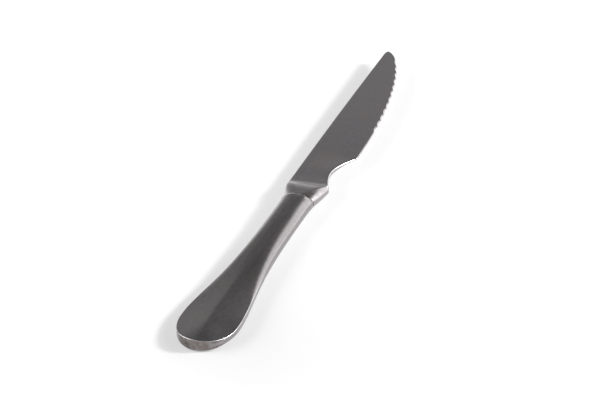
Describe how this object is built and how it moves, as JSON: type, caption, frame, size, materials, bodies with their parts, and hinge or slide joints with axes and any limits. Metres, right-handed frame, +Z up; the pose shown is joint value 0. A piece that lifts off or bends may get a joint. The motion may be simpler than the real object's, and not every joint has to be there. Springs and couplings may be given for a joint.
{
  "type": "steak knife",
  "caption": "All-metal table steak knife with a scalloped blade, a notched bolster and a hollow handle that flares to a rounded butt.",
  "frame": {"origin": "middle of the knife's length and width, on the surface that the handle lies on", "axes": "+X from the butt to the blade's point, +Y from the cutting edge to the spine, +Z up out of the surface that the knife lies on"},
  "size_m": [0.2282, 0.0216, 0.0078],
  "materials": {
    "blade_steel": "satin, dark grey",
    "handle_steel": "satin, dark grey",
    "weld_steel": "ground flush, satin",
    "braze": "dull silver",
    "cement": "matt"
  },
  "bodies": {
    "root": {"blade": "blade_steel", "handle_shell_upper": "handle_steel", "handle_shell_lower": "handle_steel", "seam_weld": "weld_steel", "collar_braze": "braze", "handle_filler": "cement"}
  },
  "joints": []
}
